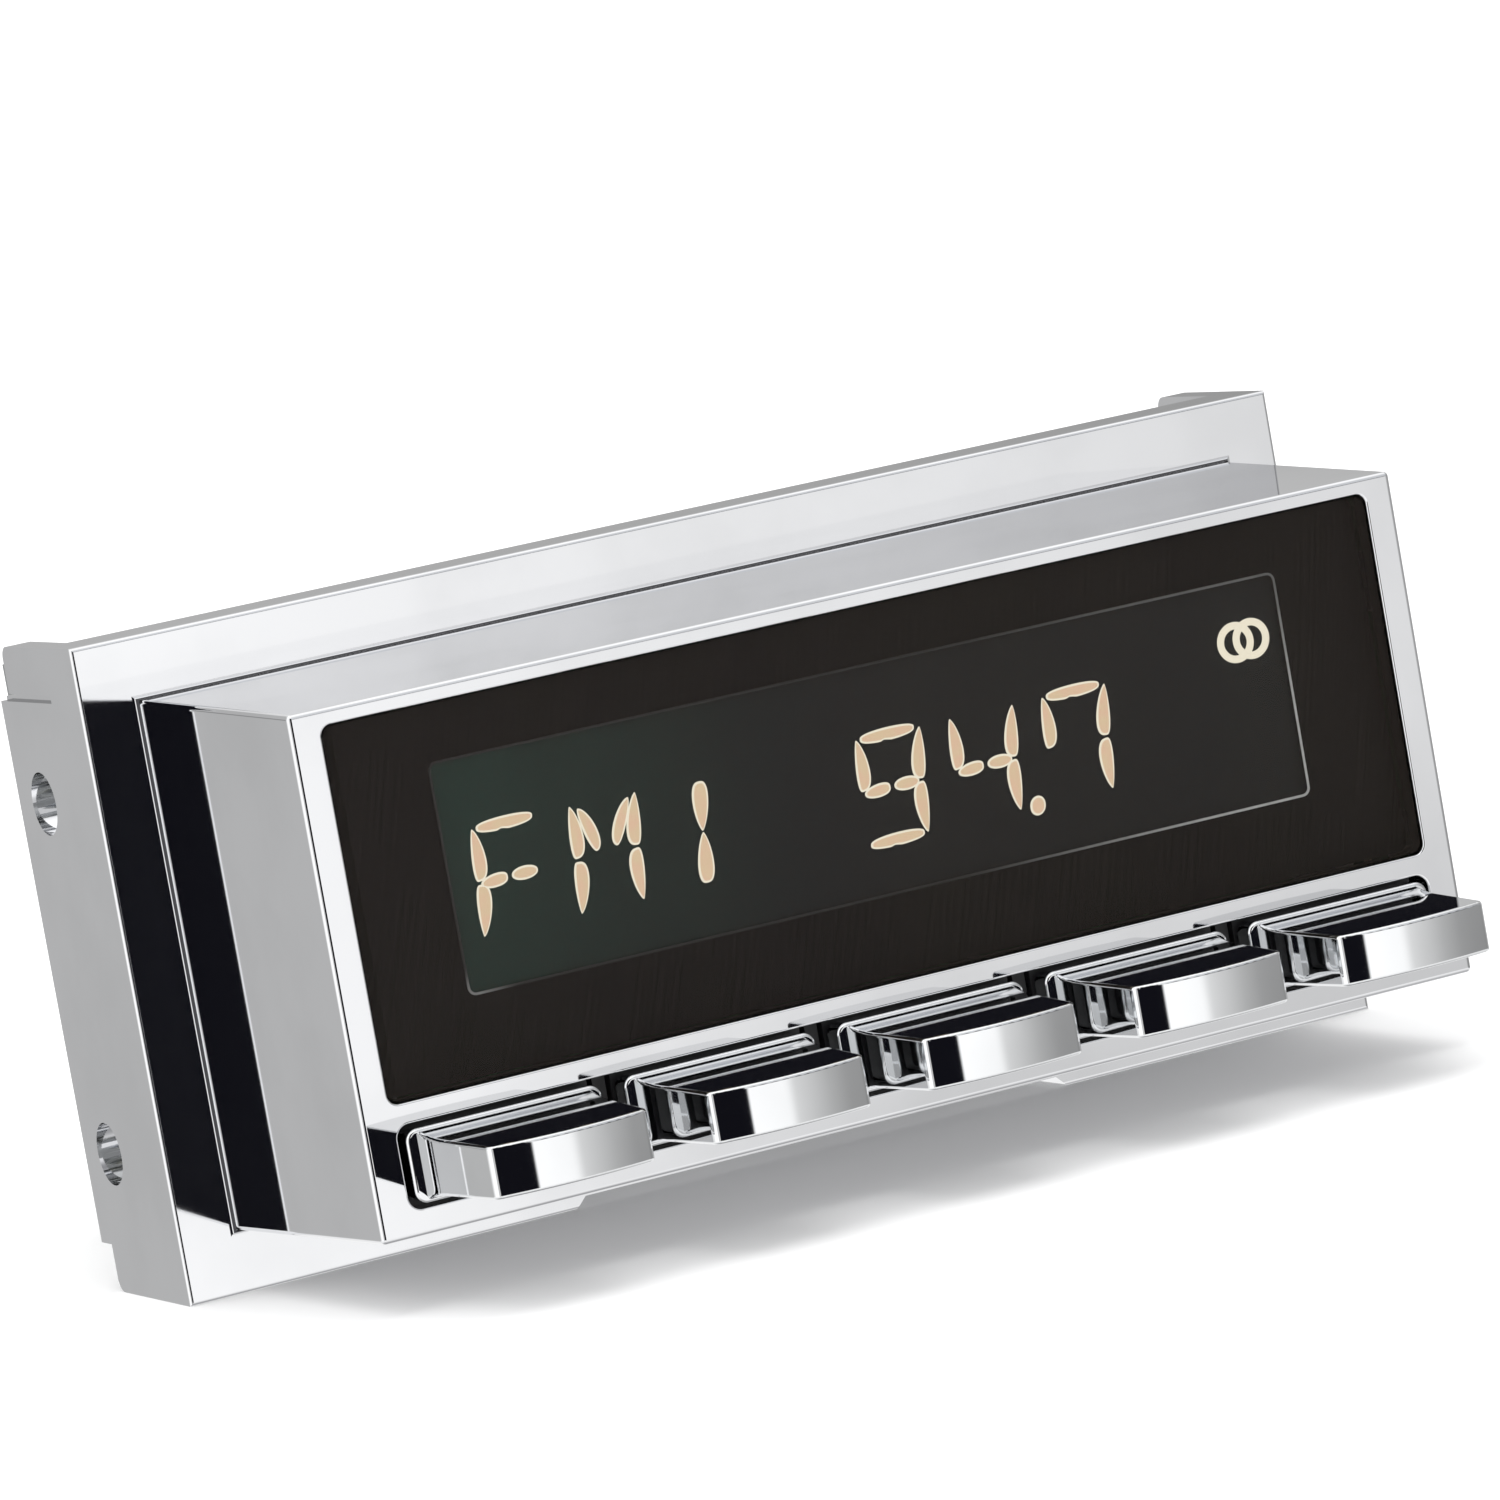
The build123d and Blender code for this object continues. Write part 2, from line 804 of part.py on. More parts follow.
def make_amplifier():
    """The power amplifier chip, flat against the heat sink."""
    face = housing_width / 2 - housing_sheet - heat_sink_base
    front = main_board_y - heat_sink_depth / 2
    width, depth, height = amplifier_size
    low = main_board_top + heat_sink_lift + 1
    body = block((face - width, face), (front, front + depth), (low, low + height))
    legs = Part()
    x = face - width / 2
    for i in range(amplifier_legs):
        y = front + depth / 2 + (i - (amplifier_legs - 1) / 2) * amplifier_leg_pitch
        legs += block(spread(x, 0.6), spread(y, 0.9), (main_board_top, low))
    return body + legs


def make_processor():
    """The flat control chip."""
    return on_board(processor_size, processor_x, main_board_y + processor_setback)


def make_front_header():
    """The ribbon's connector on the back of the front board."""
    z = spread(middle_z - ribbon_drop, header_depth)
    y = (front_board_back, front_board_back + header_depth)
    return block(spread(-header_width / 2, header_width), y, z)


def make_main_header():
    """The ribbon's connector on the main board."""
    y = spread(plate_y + ribbon_setback, header_depth)
    z = (main_board_top, main_board_top + header_height)
    return block(spread(-header_width / 2, header_width), y, z)


def make_ribbon():
    """The flat ribbon cable, back through the plate's window and down to the main board."""
    x = -header_width / 2
    start = (x, front_board_back + header_depth, middle_z - ribbon_drop)
    bend = (x, plate_y + ribbon_setback, middle_z - ribbon_drop)
    end = (x, plate_y + ribbon_setback, main_board_top + header_height)
    path = FilletPolyline(start, bend, end, radius=ribbon_bend)
    section = Plane(origin=start, x_dir=(1, 0, 0), z_dir=(0, 1, 0))
    return sweep(section * Rectangle(ribbon_width, ribbon_thickness), path=path)


def make_socket():
    """The wiring loom's socket, open to the rear."""
    y = (cover_back - socket_depth, cover_back + socket_proud)
    shell = block(spread(socket_x, socket_width), y, spread(rear_z, socket_height))
    shell -= block(
        spread(socket_x, socket_width - 2 * socket_wall),
        (y[0] + socket_wall, y[1] + 1),
        spread(rear_z, socket_height - 2 * socket_wall),
    )
    return shell


def make_pins():
    """The two rows of contact pins at the socket's floor."""
    floor = cover_back - socket_depth + socket_wall
    pins = Part()
    for i in range(4):
        for up in (-0.5, 0.5):
            x = socket_x + (i - 1.5) * pin_pitch
            z = rear_z + up * pin_pitch
            pins += rod_y(pin_radius, (floor, floor + pin_length), x, z)
    return pins


def make_jack():
    """The aerial jack's metal barrel with its fixing nut."""
    y = (cover_back - jack_depth, cover_back + jack_proud)
    barrel = rod_y(jack_radius, y, jack_x, rear_z)
    nut_y = cover_back + jack_nut_thickness / 2
    hexagon = extrude(RegularPolygon(jack_nut_radius, 6), jack_nut_thickness / 2, both=True)
    barrel += Pos(jack_x, nut_y, rear_z) * Rot(90, 0, 0) * hexagon
    barrel -= rod_y(jack_bore, (y[1] - jack_bore_depth, y[1] + 1), jack_x, rear_z)
    return barrel - rod_y(jack_seat, (y[0] - 1, y[1]), jack_x, rear_z)


def make_jack_insulator():
    """The plastic plug at the bottom of the aerial jack."""
    y = (cover_back - jack_depth, cover_back + jack_proud - jack_bore_depth)
    plug = rod_y(jack_seat, y, jack_x, rear_z)
    return plug - rod_y(jack_contact_radius, (y[0] - 1, y[1] + 1), jack_x, rear_z)


def make_jack_contact():
    """The aerial jack's centre contact, a sleeve in the insulator."""
    y = (cover_back - jack_depth, cover_back + jack_proud - jack_bore_depth)
    sleeve = rod_y(jack_contact_radius, y, jack_x, rear_z)
    return sleeve - rod_y(jack_contact_bore, (y[1] - 4, y[1] + 1), jack_x, rear_z)


def make_fuse_holder():
    """The fuse's open holder in the rear cover."""
    width, depth, height = fuse_holder_size
    y = (cover_back - depth, cover_back + 1.0)
    holder = block(spread(fuse_x, width), y, spread(rear_z, height))
    return holder - block(
        spread(fuse_x, width - 2 * fuse_holder_wall),
        (y[0] + fuse_holder_wall, y[1] + 1),
        spread(rear_z, height - 2 * fuse_holder_wall),
    )


def make_fuse():
    """The blade fuse, standing a little out of its holder."""
    width, depth, height = fuse_holder_size
    floor = cover_back - depth + fuse_holder_wall
    inner_width = width - 2 * fuse_holder_wall
    inner_height = height - 2 * fuse_holder_wall
    head = block(
        spread(fuse_x, inner_width),
        (cover_back - depth / 2, cover_back + fuse_proud),
        spread(rear_z, inner_height / 2),
    )
    for side in (-1, 1):
        x = fuse_x + side * inner_width / 3
        y = (floor, cover_back - depth / 2)
        head += block(spread(x, inner_width / 5), y, spread(rear_z, 0.8))
    return head


parts = {
    "chassis_frame": make_chassis(),
    "nose_bezel": make_bezel(),
    "display_lens": make_lens(),
    "window_mask": make_mask(),
    "lcd_panel": make_display_block(lcd_border, (lcd_front, lcd_back)),
    "light_diffuser": make_display_block(diffuser_border, (lcd_back, diffuser_back)),
    "light_reflector": make_reflector(),
    "backlight_leds": make_leds(),
    "lcd_contact_strip": make_contact_strip(),
    "front_board": make_front_board(),
    "key_switches": make_switches(),
    "button_guide": make_guide(),
    "front_standoffs": make_front_standoffs(),
    "front_board_screws": make_front_screws(),
    "bezel_screws": make_bezel_screws(),
    "rear_housing": make_housing(),
    "housing_screws": make_housing_screws(),
    "rear_cover": make_cover(),
    "cover_screws": make_cover_screws(),
    "main_board": make_main_board(),
    "main_board_standoffs": make_main_standoffs(),
    "main_board_screws": make_main_screws(),
    "tuner_can": make_tuner(),
    "supply_choke": make_choke(),
    "capacitors": make_capacitors(),
    "heat_sink": make_heat_sink(),
    "amplifier_chip": make_amplifier(),
    "control_chip": make_processor(),
    "front_header": make_front_header(),
    "main_header": make_main_header(),
    "ribbon_cable": make_ribbon(),
    "harness_socket": make_socket(),
    "harness_pins": make_pins(),
    "aerial_jack": make_jack(),
    "aerial_insulator": make_jack_insulator(),
    "aerial_contact": make_jack_contact(),
    "fuse_holder": make_fuse_holder(),
    "blade_fuse": make_fuse(),
}
for number, place in enumerate(button_places, 1):
    parts[f"button_cap_{number}"] = make_button(place)
    parts[f"button_plunger_{number}"] = make_plunger(place)
    parts[f"return_spring_{number}"] = make_spring(place)

os.makedirs("parts", exist_ok=True)
for name, part in parts.items():
    export_step(part, f"parts/{name}.step")
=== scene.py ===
import bmesh
import bpy
from math import cos, degrees, exp, pi, radians, sin, tau
from mathutils import Matrix, Vector


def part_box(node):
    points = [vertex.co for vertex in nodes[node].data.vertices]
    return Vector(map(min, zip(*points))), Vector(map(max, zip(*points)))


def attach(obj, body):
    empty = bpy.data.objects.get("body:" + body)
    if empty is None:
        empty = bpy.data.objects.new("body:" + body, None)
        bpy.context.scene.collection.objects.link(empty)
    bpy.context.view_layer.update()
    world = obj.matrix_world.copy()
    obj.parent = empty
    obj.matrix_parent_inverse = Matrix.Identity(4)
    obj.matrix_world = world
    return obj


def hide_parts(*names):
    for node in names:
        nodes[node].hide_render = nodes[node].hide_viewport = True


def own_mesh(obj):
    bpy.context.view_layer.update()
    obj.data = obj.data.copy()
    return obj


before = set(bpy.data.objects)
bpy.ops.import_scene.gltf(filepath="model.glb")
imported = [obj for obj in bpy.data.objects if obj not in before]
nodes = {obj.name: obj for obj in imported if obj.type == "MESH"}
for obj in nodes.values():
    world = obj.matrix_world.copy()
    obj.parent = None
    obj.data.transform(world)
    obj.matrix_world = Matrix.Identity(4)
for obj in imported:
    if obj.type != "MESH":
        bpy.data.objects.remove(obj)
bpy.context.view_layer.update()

# The chassis casting behind the dashboard: face plate, rim and both ears in one die casting.
# It is zinc, polished and plated with bright chrome, so nearly all of its look is what it mirrors.
# The plating has a fine haze of polishing marks that only shows as a change of gloss.


class Wire:
    """A shader socket on which Python's operators add Math nodes."""

    def __init__(self, finish, socket):
        self.finish = finish
        self.socket = socket

    def maths(self, operation, first, second=0.0, third=0.0):
        return self.finish.node(
            "ShaderNodeMath", {"operation": operation}, {0: first, 1: second, 2: third}
        )

    def __add__(self, other):
        return self.maths("ADD", self, other)

    def __sub__(self, other):
        return self.maths("SUBTRACT", self, other)

    def __rsub__(self, other):
        return self.maths("SUBTRACT", other, self)

    def __mul__(self, other):
        return self.maths("MULTIPLY", self, other)

    def __truediv__(self, other):
        return self.maths("DIVIDE", self, other)

    __radd__ = __add__
    __rmul__ = __mul__

    def step(self, low, high):
        """0 below low, 1 above high, and a smooth rise between them."""
        return self.finish.node(
            "ShaderNodeMapRange",
            {"interpolation_type": "SMOOTHSTEP"},
            {"Value": self, "From Min": low, "From Max": high},
        )


class Finish:
    """A material whose nodes are added one by one and feed its Principled shader."""

    def __init__(self, name, constants=None):
        self.material = bpy.data.materials.new(name)
        self.material.use_nodes = True
        self.tree = self.material.node_tree
        self.shader = self.tree.nodes["Principled BSDF"]
        self.feed(constants or {})

    def plug(self, socket, value):
        if isinstance(value, Wire):
            self.tree.links.new(value.socket, socket)
        elif isinstance(value, tuple) and len(value) == 3 and socket.type == "RGBA":
            socket.default_value = (*value, 1.0)
        else:
            socket.default_value = value

    def feed(self, inputs):
        """Sets or links the Principled shader's sockets by name."""
        for name, value in inputs.items():
            self.plug(self.shader.inputs[name], value)

    def node(self, kind, settings=None, inputs=None, output=0):
        """Adds a node of a kind, with its settings first and then its sockets' values or links."""
        made = self.tree.nodes.new(kind)
        for name, value in (settings or {}).items():
            if name == "stops":
                while len(made.color_ramp.elements) < len(value):
                    made.color_ramp.elements.new(0.5)
                for element, (place, colour) in zip(made.color_ramp.elements, value):
                    element.position = place
                    element.color = (*colour, 1.0)
            else:
                setattr(made, name, value)
        for name, value in (inputs or {}).items():
            self.plug(made.inputs[name], value)
        return Wire(self, made.outputs[output])

    def place(self):
        """The point on the piece, in metres."""
        return self.node("ShaderNodeTexCoord", output="Object")

    def along(self, axis):
        """One coordinate of the point on the piece, in metres."""
        return self.node("ShaderNodeSeparateXYZ", inputs={"Vector": self.place()}, output=axis)

    def noise(self, scale, detail=2.0, stretch=(1.0, 1.0, 1.0)):
        """Smooth noise from 0 to 1, so many features to the metre."""
        point = self.node(
            "ShaderNodeMapping", inputs={"Vector": self.place(), "Scale": stretch}
        )
        return self.node(
            "ShaderNodeTexNoise", inputs={"Vector": point, "Scale": scale, "Detail": detail}
        )

    def blend(self, share, first, second):
        """A colour between two colours."""
        return self.node(
            "ShaderNodeMix",
            {"data_type": "RGBA"},
            {"Factor": share, 6: first, 7: second},
            output=2,
        )

    def bump(self, height, depth, strength=1.0):
        """A normal roughened by a height from 0 to 1, so many metres deep."""
        return self.node(
            "ShaderNodeBump",
            inputs={"Height": height, "Distance": depth, "Strength": strength},
        )


def chrome(name, tint, gloss, haze):
    """Bright plating, with a haze of fine polishing marks."""
    finish = Finish(name, {"Metallic": 1.0, "IOR": 2.0})
    smear = finish.noise(90.0, 4.0)
    marks = finish.noise(700.0, 2.0, (1.0, 6.0, 1.0))
    darker = tuple(0.94 * c for c in tint)
    finish.feed(
        {
            "Base Color": finish.blend(smear.step(0.35, 0.75), tint, darker),
            "Roughness": gloss + haze * (smear * 0.7 + marks * 0.3),
        }
    )
    return finish.material


def clad(material, *names):
    """Gives CAD nodes their finish."""
    for name in names:
        nodes[name].material_slots[0].material = material


bright_chrome = (0.84, 0.845, 0.86)
clad(chrome("chrome_casting", bright_chrome, 0.035, 0.04), "chassis_frame")

# The nose bezel: a thin tapered chrome box, cast in one piece, that comes through the dashboard.
# Its front carries the lens opening and the slot for the buttons; four bosses behind take screws.

clad(chrome("chrome_bezel", bright_chrome, 0.02, 0.025), "nose_bezel")

# The root of the nose: where it meets the face plate runs a small hollow fillet of plated sealing
# bead. A fine line of it against the nose is coloured near black: painted shade in the crease
# between bead and nose.

MM = 0.001
root_radius = 0.45
root_steps = 6
crease_shade_share = 0.3
nose_low, nose_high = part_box("nose_bezel")
nose_middle = (nose_low + nose_high) / 2
nose_half = (nose_high - nose_low) / 2
profile = [(0.0, 0.0)]
for step in range(root_steps + 1):
    swing = step / root_steps * pi / 2
    profile.append((root_radius * (1 - sin(swing)), root_radius * (1 - cos(swing))))


def new_piece(name, bm, material, body="head"):
    """Turns a finished bmesh into a piece that rides on a body."""
    mesh = bpy.data.meshes.new(name)
    bm.to_mesh(mesh)
    bm.free()
    mesh.materials.append(material)
    piece = bpy.data.objects.new(name, mesh)
    bpy.context.scene.collection.objects.link(piece)
    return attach(piece, body)


def lay_ring(verts, out, forward):
    """Sets a ring's corners round the nose, so far out from it and so far before the plate."""
    for vert in verts:
        side = 1 if vert.co.x > nose_middle.x else -1
        up = 1 if vert.co.z > nose_middle.z else -1
        vert.co = Vector(
            (
                nose_middle.x + side * (nose_half.x + out * MM),
                nose_high.y - forward * MM,
                nose_middle.z + up * (nose_half.z + out * MM),
            )
        )


bead_finish = Finish("sealing_bead", {"Metallic": 1.0})
# Painted shade: the bead's colour turns near black in a fine line against the nose, standing in
# for the crease's shade.
painted_crease_shade = bead_finish.node("ShaderNodeAttribute", {"attribute_name": "joint"}, output="Fac")
bead_marks = bead_finish.noise(300.0, 3.0)
bead_finish.feed(
    {
        "Base Color": bead_finish.blend(
            painted_crease_shade.step(0.3, 0.9), bright_chrome, (0.06, 0.06, 0.065)
        ),
        "Roughness": 0.03 + 0.05 * bead_marks,
    }
)
bm = bmesh.new()
joint = bm.verts.layers.float.new("joint")
bmesh.ops.create_grid(bm, x_segments=1, y_segments=1, size=1.0)
bmesh.ops.rotate(bm, verts=bm.verts, cent=(0, 0, 0), matrix=Matrix.Rotation(pi / 2, 3, "X"))
bmesh.ops.delete(bm, geom=bm.faces[:], context="FACES_ONLY")
first_ring = bm.edges[:]
lay_ring(bm.verts[:], *profile[0])
ring = first_ring
for point in profile[1:]:
    grown = bmesh.ops.extrude_edge_only(bm, edges=ring)["geom"]
    ring = [part for part in grown if isinstance(part, bmesh.types.BMEdge)]
    lay_ring([part for part in grown if isinstance(part, bmesh.types.BMVert)], *point)
bmesh.ops.bridge_loops(bm, edges=first_ring + ring)
# Marks the vertices nearest the nose, which get the painted crease shade.
for vert in bm.verts:
    out = (abs(vert.co.x - nose_middle.x) - nose_half.x) / MM
    vert[joint] = 1.0 if out < crease_shade_share * root_radius else 0.0
bmesh.ops.recalc_face_normals(bm, faces=bm.faces)
root_fillet = new_piece("nose_root_fillet", bm, bead_finish.material)

# The five push buttons: moulded plastic with bright chrome plating, wider at the root, each
# with a bowed front. Behind each one is a black moulded plunger that runs in the guide and
# presses a key switch.

clad(
    chrome("chrome_button", (0.86, 0.87, 0.88), 0.02, 0.03),
    *[f"button_cap_{number}" for number in range(1, 6)],
)


def moulded(name, colour, gloss, grain=0.00002, scale=2500.0):
    """Moulded plastic with a fine spark-eroded grain and a slight change of tone."""
    finish = Finish(name, {"IOR": 1.5})
    tone = finish.noise(160.0, 3.0)
    pits = finish.noise(scale, 2.0)
    lighter = tuple(min(1.0, 1.25 * c + 0.004) for c in colour)
    finish.feed(
        {
            "Base Color": finish.blend(tone.step(0.3, 0.8), colour, lighter),
            "Roughness": gloss + 0.12 * tone,
            "Normal": finish.bump(pits, grain, 0.6),
        }
    )
    return finish.material


black_plastic = moulded("black_plastic", (0.02, 0.02, 0.021), 0.42)
clad(black_plastic, "button_guide", "harness_socket", "fuse_holder")
clad(
    moulded("plunger_plastic", (0.025, 0.025, 0.027), 0.38),
    *[f"button_plunger_{number}" for number in range(1, 6)],
)
clad(moulded("switch_plastic", (0.045, 0.045, 0.05), 0.5), "key_switches")

# The smoked lens: clear acrylic tinted brown-black, polished on its face, a little below the
# bezel. What lies behind shows only where it is lit.

lens_finish = Finish(
    "smoked_lens",
    {"IOR": 1.49, "Specular IOR Level": 0.16, "Roughness": 0.06},
)
lens_wipe = lens_finish.noise(60.0, 3.0, (1.0, 1.0, 0.25))
lens_finish.feed(
    {
        "Base Color": lens_finish.blend(
            lens_wipe.step(0.3, 0.75), (0.016, 0.012, 0.010), (0.020, 0.016, 0.012)
        ),
        "Alpha": 0.45 + 0.02 * lens_wipe,
    }
)
lens_finish.material.surface_render_method = "BLENDED"
clad(lens_finish.material, "display_lens")

# The mask behind the lens: a sheet printed matt black, which leaves the display's window clear.
# Its grain is much finer than that of the moulded parts.

clad(moulded("black_mask", (0.012, 0.010, 0.008), 0.6, 0.000005, 6000.0), "window_mask")

# The window's rim: the cut edge of the mask, a narrow step. Its colour is a painted highlight:
# pale at its right side, most at the lower right, and at its lower left corner, and almost black
# elsewhere.

rim_width = 0.22
rim_raise = 0.06
rim_corner = 0.8
rim_inset = 3.2
cell_low, cell_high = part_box("lcd_panel")
rim_low = cell_low + Vector((rim_inset, 0, rim_inset)) * MM
rim_high = cell_high - Vector((rim_inset, 0, rim_inset)) * MM
rim_middle = (rim_low + rim_high) / 2
rim_size = rim_high - rim_low


def rounded_plate(bm, width, height, corner, segments=6):
    """A flat face in the XZ plane, facing the driver, with rounded corners."""
    verts = bmesh.ops.create_grid(bm, x_segments=1, y_segments=1, size=0.5)["verts"]
    bmesh.ops.scale(bm, verts=verts, vec=(width, height, 1))
    bmesh.ops.bevel(
        bm,
        geom=verts,
        offset=corner,
        affect="VERTICES",
        segments=segments,
        profile=0.5,
        material=-1,
    )
    bmesh.ops.rotate(bm, verts=bm.verts, cent=(0, 0, 0), matrix=Matrix.Rotation(pi / 2, 3, "X"))
    return bm.faces[:]


rim_finish = Finish("mask_edge", {"Roughness": 0.35, "Specular IOR Level": 0.3})
rim_across = (rim_finish.along("X") - rim_low.x) / rim_size.x
rim_up = (rim_finish.along("Z") - rim_low.z) / rim_size.z
# Painted highlight: the rim's colour is made pale by where it lies round the window, not by any
# lamp.
rim_painted_highlight = rim_across.step(0.55, 0.98) * (1 - 0.75 * rim_up.step(0.3, 1.0))
rim_painted_highlight = rim_painted_highlight + (1 - rim_across.step(0.0, 0.06)) * (1 - rim_up.step(0.0, 0.12)) * 0.5
rim_fleck = rim_finish.noise(800.0, 2.0)
rim_finish.feed(
    {
        "Base Color": rim_finish.blend(
            rim_painted_highlight * (0.75 + 0.4 * rim_fleck), (0.05, 0.052, 0.05), (0.85, 0.86, 0.84)
        )
    }
)
bm = bmesh.new()
face = rounded_plate(bm, rim_size.x, rim_size.z, rim_corner * MM)[0]
bmesh.ops.inset_individual(bm, faces=[face], thickness=rim_width * MM)
bmesh.ops.delete(bm, geom=[face], context="FACES")
grown = bmesh.ops.extrude_face_region(bm, geom=bm.faces[:])["geom"]
raised = [part for part in grown if isinstance(part, bmesh.types.BMVert)]
bmesh.ops.translate(bm, verts=raised, vec=(0, -rim_raise * MM, 0))
bmesh.ops.translate(
    bm, verts=bm.verts, vec=(rim_middle.x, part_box("window_mask")[0].y, rim_middle.z)
)
bmesh.ops.recalc_face_normals(bm, faces=bm.faces)
new_piece("window_rim", bm, rim_finish.material)

# The display: a glass cell with a dark green-grey field. It is greener towards its left end, in
# soft uneven patches.

field_low, field_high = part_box("lcd_panel")
cell_finish = Finish("lcd_glass", {"Roughness": 0.25, "Specular IOR Level": 0.2})
across = (cell_finish.along("X") - field_low.x) / (field_high.x - field_low.x)
patches = cell_finish.noise(70.0, 3.0)
greener = (1.0 - across.step(0.0, 0.5)) * (0.45 + 1.0 * patches)
cell_finish.feed(
    {"Base Color": cell_finish.blend(greener, (0.058, 0.070, 0.076), (0.085, 0.205, 0.165))}
)
clad(cell_finish.material, "lcd_panel")

# The display's lit characters: each is a set of thin printed electrodes with rounded and
# pointed ends, warm at the core and paler round the edge. A cell has twelve strokes and a point.

cell_pitch = 9.28
cell_middle = 34.25
first_cell = -35.09
slant = 0.09
lift = 0.08
pale_edge = 0.21
blunt, round_end, sharp = 0.34, 0.46, 0.72
strokes = {
    "top": ((-2.75, 4.6), (2.62, 4.66), 0.55, -0.62, blunt, blunt),
    "base": ((-2.6, -4.68), (2.75, -4.58), -0.55, 0.62, blunt, blunt),
    "upper_left": ((-3.15, 4.62), (-2.85, 0.08), 0.95, -0.42, sharp, blunt),
    "upper_right": ((3.13, 4.6), (2.93, 0.1), -0.95, 0.45, sharp, blunt),
    "lower_left": ((-2.85, -0.18), (-2.86, -4.62), 1.0, -0.42, blunt, sharp),
    "lower_right": ((2.9, -0.12), (3.1, -4.62), -0.95, 0.45, blunt, sharp),
    "left_bar": ((-2.72, -0.2), (-0.18, 0.0), 0.6, -0.6, round_end, blunt),
    "right_bar": ((0.2, 0.0), (2.68, -0.02), 0.6, -0.6, round_end, round_end),
    "upper_middle": ((0.02, 4.25), (-0.02, -0.02), 0.78, -0.78, blunt, sharp),
    "lower_middle": ((0.0, -0.12), (0.0, -4.5), 0.78, -0.78, sharp, blunt),
    "left_slope": ((-2.4, 4.3), (-0.85, 0.38), 0.82, -0.42, 0.6, round_end),
    "right_slope": ((2.45, 4.3), (1.0, 0.45), -0.82, 0.42, 0.6, round_end),
    "point": ((4.02, -4.6), (5.56, -4.6), 0.86, -0.86, round_end, round_end),
}
notched = {"top": -1, "base": 1}
notch_depth, notch_share, notch_spread = 0.32, 0.46, 0.045
stroke_segments = 48
left_side = ("upper_left", "lower_left")
right_side = ("upper_right", "lower_right")
bars = ("left_bar", "right_bar")
characters = {
    "band_letter_f": (0, ("top", *left_side, *bars)),
    "band_letter_m": (1, (*left_side, *right_side, "left_slope", "right_slope")),
    "preset_one": (2, ("upper_middle", "lower_middle")),
    "digit_nine": (4, ("top", "base", "upper_left", *right_side, *bars)),
    "digit_four": (5, ("upper_left", *right_side, *bars, "point")),
    "digit_seven": (6, ("top", "upper_left", *right_side)),
}
display_front = field_low.y / MM


def stroke_outline(stroke, share, side, inset):
    """A point on a stroke's outline, at a share of its length, on the side of its sign."""
    (x0, z0), (x1, z1), upper, lower, first, last = strokes[stroke]
    run = Vector((x1 - x0, z1 - z0))
    length = run.length
    run.normalize()
    across = Vector((-run.y, run.x))
    reach = upper if side > 0 else lower
    widest = first / (first + last)
    peak = widest**first * (1 - widest) ** last
    swell = share**first * (1 - share) ** last / peak
    width = max(abs(reach) - inset, 0.0) * (1 if reach > 0 else -1)
    if notched.get(stroke, 0) * side > 0:
        width *= 1 - notch_depth * exp(-(((share - notch_share) / notch_spread) ** 2))
    start = Vector((x0, z0)) + run * inset
    return start + run * share * (length - 2 * inset) + across * width * swell


def add_stroke(bm, core, stroke, cell):
    """One electrode: a flat outline, and a slightly raised face inside it."""
    disc = bmesh.ops.create_circle(bm, cap_ends=True, radius=0.5, segments=stroke_segments)
    lower = disc["verts"]
    face = lower[0].link_faces[0]
    grown = bmesh.ops.extrude_face_region(bm, geom=[face])["geom"]
    upper = [part for part in grown if isinstance(part, bmesh.types.BMVert)]
    for ring, inset, height, glow in ((lower, 0.0, 0.0, 0.0), (upper, pale_edge, lift, 1.0)):
        for vert in ring:
            share = min(max(vert.co.x + 0.5, 0.0), 1.0)
            spot = stroke_outline(stroke, share, vert.co.y, inset)
            x = first_cell + cell * cell_pitch + spot.x + slant * spot.y
            vert.co = Vector((x, display_front - height, cell_middle + spot.y)) * MM
            vert[core] = glow


glow_finish = Finish(
    "display_glow", {"Base Color": (0.02, 0.02, 0.02, 1.0), "Roughness": 0.5}
)
core_share = glow_finish.node(
    "ShaderNodeAttribute", {"attribute_name": "core"}, output="Fac"
)
mottle = glow_finish.noise(900.0, 2.0)
peach = glow_finish.blend(mottle.step(0.3, 0.7), (0.84, 0.58, 0.40), (0.80, 0.62, 0.40))
glow_finish.feed(
    {
        "Emission Color": glow_finish.blend(
            core_share.step(0.75, 1.0), (1.0, 0.93, 0.74), peach
        ),
        "Emission Strength": 2.75,
    }
)

for name, (cell, lit_strokes) in characters.items():
    bm = bmesh.new()
    core = bm.verts.layers.float.new("core")
    for stroke in lit_strokes:
        add_stroke(bm, core, stroke, cell)
    bmesh.ops.recalc_face_normals(bm, faces=bm.faces)
    new_piece(name, bm, glow_finish.material)

# The stereo sign: two overlapping rings of the same printed electrode. Each stands a little
# further forward than the one before, so that they don't share a face.

